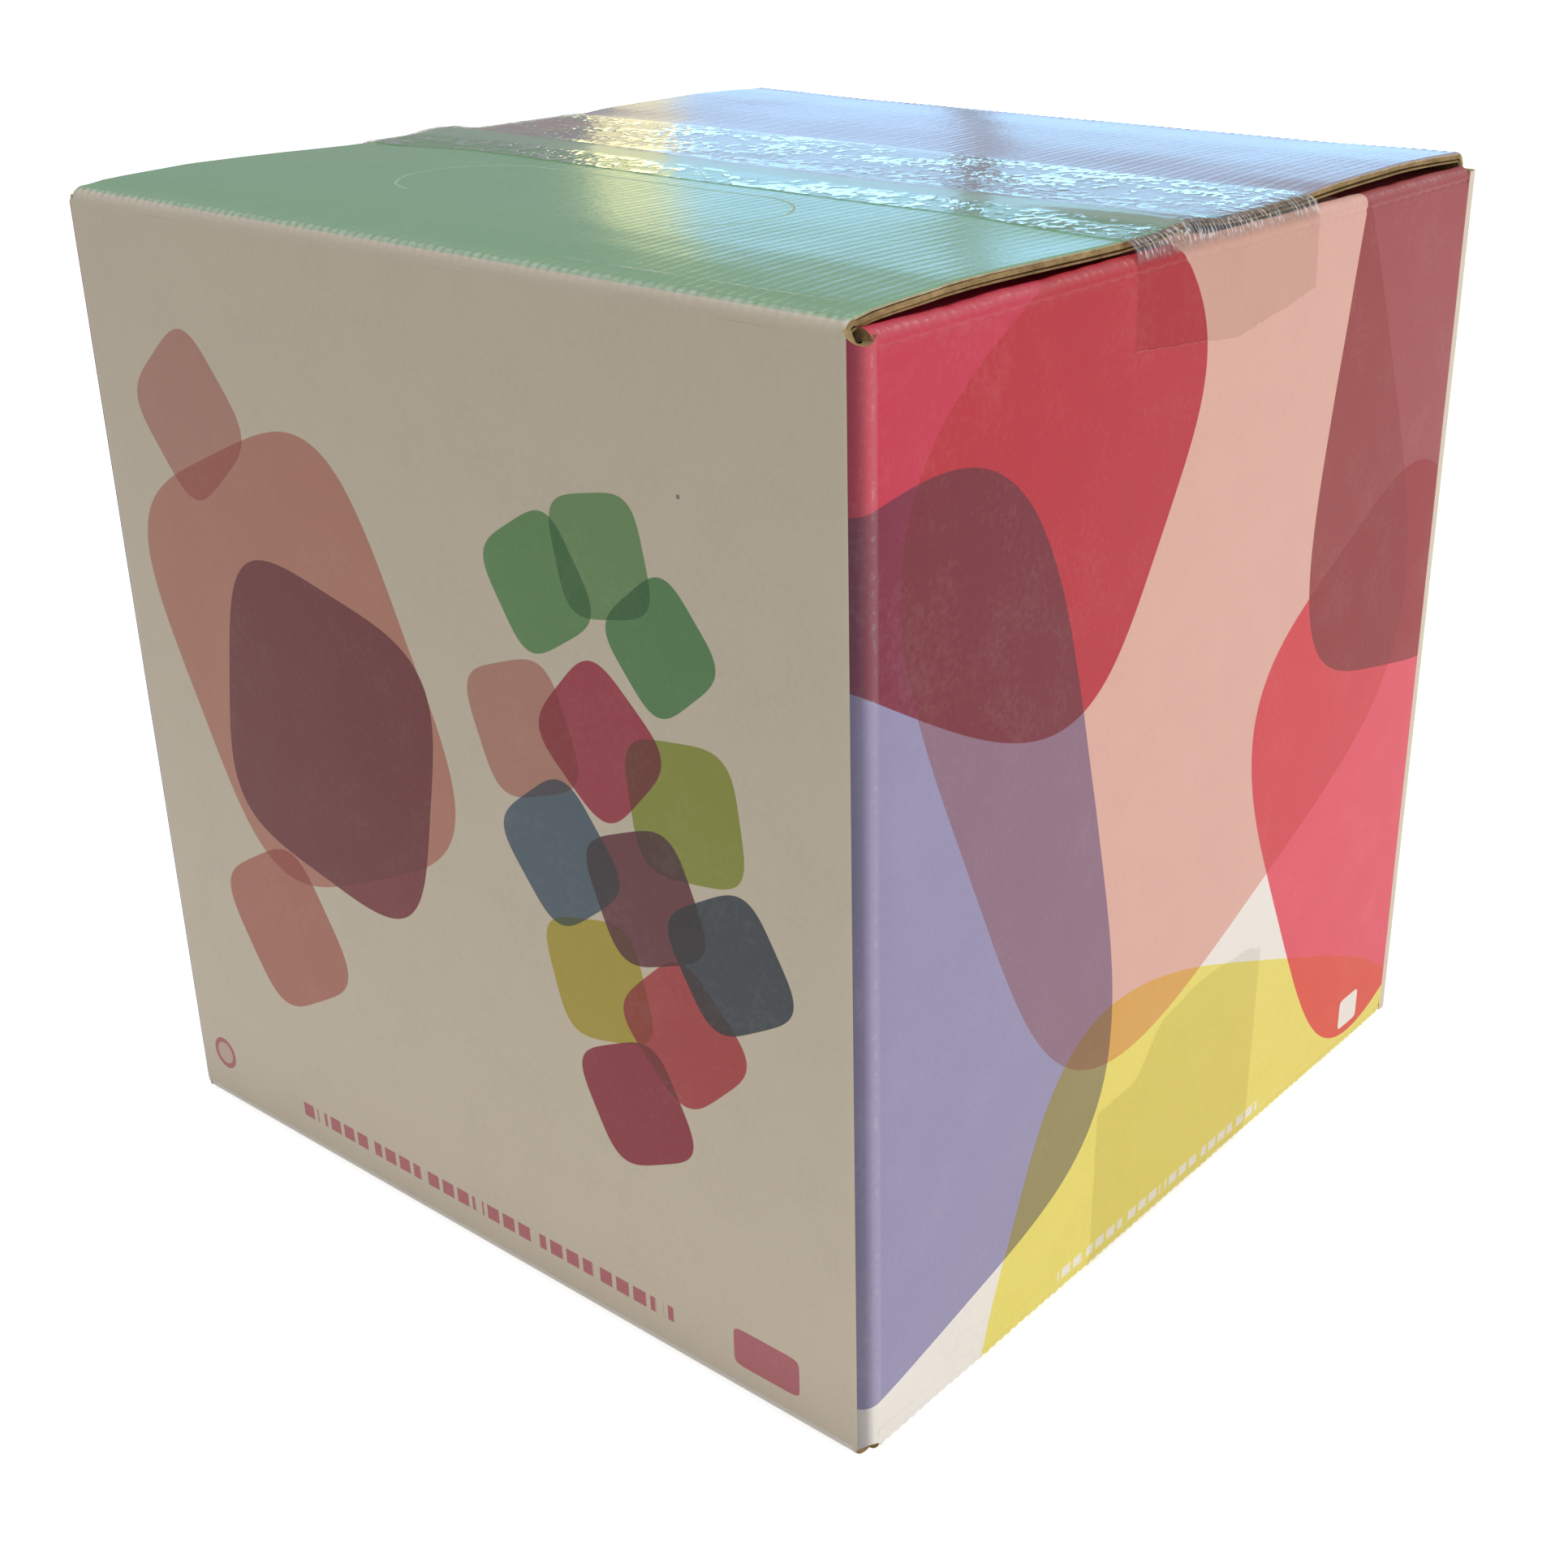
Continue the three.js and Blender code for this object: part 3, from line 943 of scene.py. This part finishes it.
    def wall_plan(self) -> list[WallPoint]:
        """The walls' line seen from above, from the raw edge at the back left corner all the way round."""
        w, d = self.half_width, self.half_depth
        end = self.flap_half - 0.4
        near = []
        for step, (along, out, wear_and_highlight) in enumerate(self.near_fold):
            cut = round(self.notch(step / (len(self.near_fold) - 1)), 3)
            near.append(WallPoint(w - self.hinge + along, out - d, wear_and_highlight, cut))
        far = [
            WallPoint(w - self.far_corner + along, d - out, wear_and_highlight, self.far_slot)
            for along, out, wear_and_highlight in self.far_fold]
        line = self.straight((-w, d - 2.0), (-w, 3.2 - d), Wall.LEFT)
        line += [point._replace(x=-point.x) for point in reversed(near)]
        line += self.straight((-end, -d), (end, -d), Wall.FRONT)
        line += near
        line += self.straight((w, 3.2 - d), (w, d - 3.1), Wall.RIGHT)
        line += reversed(far)
        line += self.straight((end, d), (-end, d), Wall.BACK)
        line += [point._replace(x=-point.x) for point in far]
        line += [WallPoint(inward - w, d - down, 0.0, self.side_reach) for inward, down in self.glue_flap]
        return line

    def print_at(self, x: float, y: float) -> Print:
        """Which print shows at a place of the walls' line."""
        if y > 75.5:
            return Print.BACK
        if abs(y) < 77.2 and abs(x) > 74:
            return Print.SIDE
        if y < 0:
            return Print.FRONT if abs(x) < 75.6 else Print.SIDE
        return Print.BACK

    def walls(self) -> bpy.types.Object:
        """Folds the four walls from one sheet, with their thickness and their brown cut edges."""
        line = self.wall_plan()
        rows = 40

        def fold(column: float, row: float) -> tuple[Vector, float]:
            """The wall's point at a column and a row."""
            x, y, wear_and_highlight, cut, wall = line[round(column)]
            low = self.base + cut
            z = low + (self.top - cut - low) * row / rows
            if wall in (Wall.FRONT, Wall.BACK):
                y += math.copysign(self.bulge(wall, x, z), y)
            elif wall is not None:
                x += math.copysign(self.bulge(wall, y, z), x)
            wander = 0.05 * ripple(x, y, z, 9)
            return Vector((x + wander, y - wander, z)), wear_and_highlight

        sheet = folded_sheet("walls", len(line) - 1, rows, fold)
        coat(sheet, self.papers.front, self.papers.side, self.papers.back, self.papers.cut)
        for face in sheet.data.polygons:
            middle = face.center / MM
            face.material_index = self.print_at(middle.x, middle.y)
        thickened(sheet, self.board - 0.05, Print.CUT, Print.CUT, 22)
        return sheet

    def wide_flap(self, side: Side, layer: Layer) -> bpy.types.Object:
        """Folds one layer of a wide top flap, from its wall round the hinge to the seam.

        Args:
            side: The wall that it hinges on.
            layer: The layer of the board.

        Returns:
            The finished layer.
        """
        depth, thickness = layer.value
        printed = layer is Layer.FACE
        columns, arc_rows, flat_rows = (440, 10, 26) if printed else (516, 8, 12)
        sign = side.value
        radius = self.hinge - depth
        paper = self.papers.brown
        if side is Side.NEAR:
            wall, seam, face = Wall.FRONT, self.front_seam, self.papers.green
        else:
            wall, seam, face = Wall.BACK, self.back_seam, self.papers.mauve
        start = self.top - self.hinge
        hinge_y = sign * (self.half_depth - self.hinge)
        ribbed = 1.0 if printed else 0.0
        fluted = 0.17 if layer is Layer.FLUTES else 0.0

        def fold(column: float, row: float) -> tuple[Vector, float]:
            """The flap's point at a column and a row."""
            x = -sign * (column / columns * 2 - 1) * self.flap_half
            bead = ribbed * math.cos(turns(x, self.rib)) * (1 + 0.5 * ripple(x, 0, sign * 9, 6))
            if row <= arc_rows:
                share = row / arc_rows
                turn = share * math.pi / 2
                swell = self.bulge(wall, x, start) * (1 - share)
                raised = 0.09 * bead * math.sin(turn) ** 2 * smooth(2 - turn)
                size = radius + raised + fluted * math.sin(turns(x, self.flute)) * share
                y = hinge_y + sign * (math.cos(turn) * size + swell)
                z = start + math.sin(turn) * size + self.rise(x, hinge_y, side) * math.sin(turn)
                # The hinge's crest carries wear and a painted highlight line.
                return Vector((x, y, z)), hill(turn, 1.0, 0.45)
            share = (row - arc_rows) / flat_rows
            stop = read(seam, x) + 0.25 * ripple(x, sign * 5, depth, 1.2)
            y = hinge_y + (stop - hinge_y) * (share * 0.55 + 0.45 * share * share)
            near = math.exp(-abs(y - hinge_y) / 1.2)
            past = abs(x) - self.flap_half
            ragged = 0.14 * ripple(depth * 9, y, 4, 0.9) if column in (0, columns) else 0.0
            z = self.top + self.rise(x, y, side) - depth
            z += fluted * math.sin(turns(x + 0.014 * y, self.flute)) + 0.07 * bead * near
            z -= ribbed * 0.12 * smooth((past + 0.5) / 0.5)
            wear_and_highlight = 0.55 * near + 0.5 * smooth((past + 0.6) / 0.6)
            return Vector((x + math.copysign(ragged, x), y, z)), wear_and_highlight

        name = f"{wall.value}_flap_{layer.name.lower()}"
        sheet = folded_sheet(name, columns, arc_rows + flat_rows, fold)
        coat(sheet, face if printed else paper, paper, self.papers.pale)
        shift = 1 if printed else 0
        thickened(sheet, thickness, shift, 2 * shift)
        return sheet

    def bottom_flap(self, side: Side) -> bpy.types.Object:
        """Folds the wide bottom flap that hinges on a wall flat to the middle."""
        columns, arc_rows, flat_rows = 220, 8, 16
        sign = side.value
        wall = Wall.FRONT if side is Side.NEAR else Wall.BACK
        start = self.base + self.hinge
        hinge_y = sign * (self.half_depth - self.hinge)

        def fold(column: float, row: float) -> tuple[Vector, float]:
            """The flap's point at a column and a row."""
            x = sign * (column / columns * 2 - 1) * self.flap_half
            if row <= arc_rows:
                turn = row / arc_rows * math.pi / 2
                swell = self.bulge(wall, x, start) * (1 - row / arc_rows)
                y = hinge_y + sign * (math.cos(turn) * self.hinge + swell)
                # The bottom hinge's crest carries wear and a painted highlight.
                return Vector((x, y, start - math.sin(turn) * self.hinge)), hill(turn, 0.8, 0.5)
            share = (row - arc_rows) / flat_rows
            y = hinge_y + (sign * 0.45 - hinge_y) * share
            return Vector((x, y, self.base)), 0.0

        sheet = folded_sheet(f"{wall.value}_bottom_flap", columns, arc_rows + flat_rows, fold)
        coat(sheet, self.papers.bare, self.papers.brown)
        thickened(sheet, self.board, 1, 1)
        return sheet

    def narrow_edge(self, side: Side, end: End) -> bpy.types.Object:
        """Folds the edge of a narrow flap: up the wall, over a ribbed crest and in under the wide flaps.

        Args:
            side: The side wall that it hinges on.
            end: The end of the box.

        Returns:
            The finished edge.
        """
        columns, wall_rows, arc_rows, in_rows = 440, 8, 12, 6
        sign, up = side.value, end.value
        radius = self.narrow_fold
        fold_z = self.top if end is End.TOP else self.base
        half = self.half_depth - 2.5
        drop = self.top_drop if end is End.TOP else self.bottom_drop
        wall = Wall.LEFT if side is Side.NEAR else Wall.RIGHT
        centre_z = drop + radius
        reach = self.side_reach

        def fold(column: float, row: float) -> tuple[Vector, float]:
            """The edge's point at a column and a row."""
            y = sign * up * (column / columns * 2 - 1) * half
            bead = math.cos(turns(y, self.rib)) * (1 + 0.7 * ripple(0, y, sign * 5, 5))
            sag = 0.22 * ripple(3, y, 0, 14) + 0.1 * ripple(5, y, 0, 3)
            if row <= wall_rows:
                below = reach + (centre_z - reach) * row / wall_rows
                z = fold_z - up * below
                crease_at = centre_z + 0.25 + 0.14 * math.sin(turns(y, self.flute))
                groove = 0.16 * hill(below, crease_at, 0.3)
                x = sign * (self.half_width + self.bulge(wall, y, z) - groove)
                return Vector((x, y, z)), 0.35 * hill(below, crease_at, 0.5)
            if row <= wall_rows + arc_rows:
                turn = (row - wall_rows) / arc_rows * math.pi / 2
                band = hill(turn, 0.75, 0.42)
                size = radius + 0.1 * bead * band
                x = sign * (self.half_width - radius + math.cos(turn) * size)
                below = centre_z - math.sin(turn) * size + sag * smooth(turn)
                # The ribbed band over the crest carries wear and a painted highlight, in place of its glint
                # band.
                return Vector((x, y, fold_z - up * below)), 0.72 * band
            share = (row - wall_rows - arc_rows) / in_rows
            inward = 12 * share * share
            below = drop + sag * (1 - smooth(inward / 2)) + 0.95 * smooth(inward / 2.2)
            return Vector((sign * (self.half_width - radius - inward), y, fold_z - up * below)), 0.0

        name = f"{wall.value}_{end.name.lower()}_fold"
        sheet = folded_sheet(name, columns, wall_rows + arc_rows + in_rows, fold)
        coat(sheet, self.papers.side, self.papers.brown)
        thickened(sheet, self.board - 0.1, 1, 1)
        return sheet


@dataclass
class TapeStrip:
    """A strip of clear tape over one end of the box and down both sides. Sizes are in millimetres."""

    carton: Carton
    end: End
    middle: float
    width: float
    torn: Table
    name: str
    lift: float = 0.12
    turn_start: float = 2.7
    arc_steps: int = 12
    flat_steps: int = 130

    def level(self, x: float, y: float) -> float:
        """Height of the film above the fold, over both flaps and the step between them."""
        if self.end is End.BOTTOM:
            return 0.0
        front = self.carton.rise(x, min(y, -6), Side.NEAR)
        back = self.carton.rise(x, max(y, 0), Side.FAR)
        edge = read(self.carton.front_seam, x)
        share = smooth((y - edge) / (4.5 + 6 * smooth((x - 50) / 25)))
        return front + (back - front) * share

    def path(self, y: float) -> list[Triple]:
        """The film's line at a place across it: points from right to left, each with x, z, and wear and
        painted highlight.
        """
        up = self.end.value
        fold = self.carton.top if self.end is End.TOP else self.carton.base
        side = self.carton.half_width + self.lift
        length = read(self.torn, y - self.middle)
        points: list[Triple] = []
        for step in range(self.arc_steps + 1):
            share = step / self.arc_steps
            below = length + (self.turn_start - length) * share**1.5
            z = fold - up * below
            ragged = 0.3 * ripple(0, y, 7, 1.4) * (1 - share)
            # The torn end is marked for a painted highlight streak.
            wear_and_highlight = 0.55 if step == 0 else 0.1
            points.append((side + self.carton.bulge(Wall.RIGHT, y, z), z - up * ragged, wear_and_highlight))
        over = self.carton.flap_half - 0.2
        top = self.level(over, y) + self.lift
        for step in range(1, self.arc_steps + 1):
            turn = step / self.arc_steps * math.pi / 2
            bend = math.sin(2 * turn)
            wrinkle = bend * (0.22 * ripple(2, y, 0, 1.6) + 0.12 * ripple(1, y, turn * 3, 0.8))
            below = self.turn_start - math.sin(turn) * (self.turn_start + top + wrinkle)
            x = over + math.cos(turn) * (side - over + wrinkle)
            # Wrinkles over the turn are marked for painted highlight streaks.
            points.append((x, fold - up * below, 0.75 * bend + 0.1))
        turned = [(-x, z, wear_and_highlight) for x, z, wear_and_highlight in points]
        seam = math.exp(-((y + 4) ** 2) / 2.5)
        for step in range(1, self.flat_steps):
            x = over * (1 - 2 * step / self.flat_steps)
            near = math.exp(-(over - abs(x)) / 4)
            wrinkle = near * (0.14 * abs(ripple(x, y, 1, 2.2)) + 0.1 * abs(ripple(x * 3, y, 5, 2.0)))
            z = fold + up * (self.level(x, y) + self.lift + wrinkle)
            points.append((x, z, 0.5 * near + 0.15 * seam))
        return points + turned[::-1]

    def build(self, film: Finish) -> bpy.types.Object:
        """Lays the strip and gives it the film's finish."""
        rows = 64
        places = [self.middle + (row / rows - 0.5) * self.width for row in range(rows + 1)]
        paths = [self.path(y) for y in places]

        def fold(column: float, row: float) -> tuple[Vector, float]:
            """The film's point at a column and a row."""
            x, z, wear_and_highlight = paths[round(row)][round(column)]
            return Vector((x, places[round(row)], z)), wear_and_highlight

        sheet = folded_sheet(self.name, len(paths[0]) - 1, rows, fold)
        if self.end is End.TOP:
            deselect_all()
            bpy.context.view_layer.objects.active = sheet
            bpy.ops.object.mode_set(mode="EDIT")
            bpy.ops.mesh.select_all(action="SELECT")
            bpy.ops.mesh.flip_normals()
            bpy.ops.object.mode_set(mode="OBJECT")
        coat(sheet, film)
        smoothed(sheet, 60)
        return sheet


@dataclass
class Studio:
    """The camera, floor, world and lamps, in metres."""

    camera_place: Triple = (0.22065, -0.25129, 0.20765)
    camera_turn: tuple[float, float, float, float] = (0.792514, 0.510763, 0.182055, 0.279104)
    lens: float = 48.0702
    shift: Spot = (-0.06155, -0.005505)
    room_light: float = 0.27
    room_seen: float = 1.0
    floor_size: float = 40
    forward: Triple = (-0.6296, 0.7770, 0)
    right: Triple = (0.7770, 0.6296, 0)
    panes_away: float = 2.0
    panes_low: float = 0.02
    panes_high: float = 0.52
    card_scale: Triple = (6, 2.2, 1)
    card_gap: float = 0.1

    def camera(self) -> None:
        """Puts the camera where the photograph was taken from."""
        data = bpy.data.cameras.new("camera")
        data.lens = self.lens
        data.sensor_width = 36
        data.shift_x, data.shift_y = self.shift
        data.clip_start, data.clip_end = 0.01, 50
        eye = bpy.data.objects.new("camera", data)
        eye.location = self.camera_place
        eye.rotation_mode = "QUATERNION"
        eye.rotation_quaternion = Quaternion(self.camera_turn)
        bpy.context.scene.collection.objects.link(eye)
        bpy.context.scene.camera = eye

    def floor(self) -> None:
        """Lays the floor under the box."""
        deselect_all()
        bpy.ops.mesh.primitive_plane_add(size=self.floor_size, location=(0, 0, 0))
        ground = bpy.context.active_object
        ground.name = "floor"
        coat(ground, FloorFinish())

    def lamp(self, name: str, place: Triple, aim: Triple, size: Spot, radiance: float,
             colour: Colour) -> bpy.types.Object:
        """Hangs one flat lamp.

        Args:
            name: Its name.
            place: Where it hangs.
            aim: The point that it faces.
            size: Its width and height.
            radiance: How bright its face is, where 1 is white.
            colour: Its colour.

        Returns:
            The lamp.
        """
        data = bpy.data.lights.new(name, "AREA")
        data.shape = "RECTANGLE"
        data.size, data.size_y = size
        data.energy = radiance * math.pi * size[0] * size[1]
        data.color = colour
        hung = bpy.data.objects.new(name, data)
        hung.location = place
        hung.rotation_mode = "QUATERNION"
        hung.rotation_quaternion = (Vector(aim) - Vector(place)).to_track_quat("-Z", "Y")
        hung.visible_camera = False
        bpy.context.scene.collection.objects.link(hung)
        return hung

    def windows(self) -> None:
        """Hangs the panes that the top mirrors, and a dark card round them."""
        forward = Vector(self.forward)
        right = Vector(self.right)
        eye = Vector((self.camera_place[0], self.camera_place[1], 0))
        away = self.panes_away
        panes = (
            ("pane_edge", -7.5, -5.4, (1.0, 0.9, 0.42), 1.5),
            ("pane_left", -5.4, 2.2, (0.30, 0.62, 1.0), 1.85),
            ("pane_right", 3.1, 15.8, (0.30, 0.64, 1.0), 1.85),
        )
        low, high = self.panes_low, self.panes_high
        for name, first, last, colour, radiance in panes:
            left = math.tan(math.radians(first)) * away
            stop = math.tan(math.radians(last)) * away
            place = eye + forward * away + right * (left + stop) / 2
            place.z = (low + high) / 2
            self.lamp(name, place, place - forward, (stop - left, high - low), radiance, colour)
        deselect_all()
        middle = eye + forward * (away + self.card_gap) + Vector((0, 0, 1.0))
        bpy.ops.mesh.primitive_plane_add(size=1, location=middle)
        card = bpy.context.active_object
        card.name = "dark_card"
        card.scale = self.card_scale
        card.rotation_mode = "QUATERNION"
        card.rotation_quaternion = (-forward).to_track_quat("Z", "Y")
        card.visible_camera = False
        card.visible_diffuse = False
        card.visible_shadow = False
        coat(card, CardFinish())

    def build(self) -> None:
        """Sets up the whole studio."""
        self.camera()
        self.floor()
        Room(self.room_light, self.room_seen)
        self.lamp("key", (1.5, 0.15, 0.55), (0, 0, 0.08), (1.3, 1.0), 2.0, (1.0, 0.985, 0.96))
        bounce = self.lamp("bounce", (0, -0.15, 0.001), (0, -0.15, 1), (0.4, 0.13), 0.28, (1.0, 0.97, 0.95))
        bounce.visible_glossy = False
        self.lamp("above", (0.0, 0.0, 1.5), (0, 0, 0.1), (1.1, 1.1), 2.05, (1.0, 1.0, 1.0))
        self.lamp("low", (1.0, -0.1, 0.12), (0.08, 0, 0.02), (1.1, 0.22), 1.95, (1.0, 0.99, 0.96))
        self.windows()
        bpy.context.scene.view_settings.view_transform = "Standard"


def dress() -> None:
    """Builds every piece of the box and its tape."""
    carton = Carton()
    walls = carton.walls()
    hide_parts("carton")
    made = [walls]
    made += [carton.wide_flap(side, layer) for side in Side for layer in Layer]
    made += [carton.bottom_flap(side) for side in Side]
    made += [carton.narrow_edge(side, end) for side in Side for end in End]
    for piece in made:
        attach(piece, "root")
    film = TapeFilm()
    top_torn = ((-24, 13.5), (-12, 14.6), (2, 16.0), (14, 14.4), (24, 12.6))
    bottom_torn = ((-24, 30.0), (-14, 30.6), (-6, 38.5), (6, 40.4), (19, 39.6), (24, 38.0))
    strips = (
        TapeStrip(carton, End.TOP, 1.5, 48, top_torn, "tape_over_top"),
        TapeStrip(carton, End.BOTTOM, 0.5, 48, bottom_torn, "tape_under_bottom"),
    )
    for strip, node in zip(strips, ("top_tape", "bottom_tape")):
        piece = strip.build(film)
        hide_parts(node)
        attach(piece, "root")
        made.append(piece)
    for piece in made:
        log.info("%s: %d faces", piece.name, len(piece.data.polygons))


def main() -> None:
    """Loads the frame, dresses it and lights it."""
    logging.basicConfig(level=logging.INFO, format="%(message)s")
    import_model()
    dress()
    Studio().build()
    bpy.context.view_layer.update()


if __name__ == "__main__":
    main()
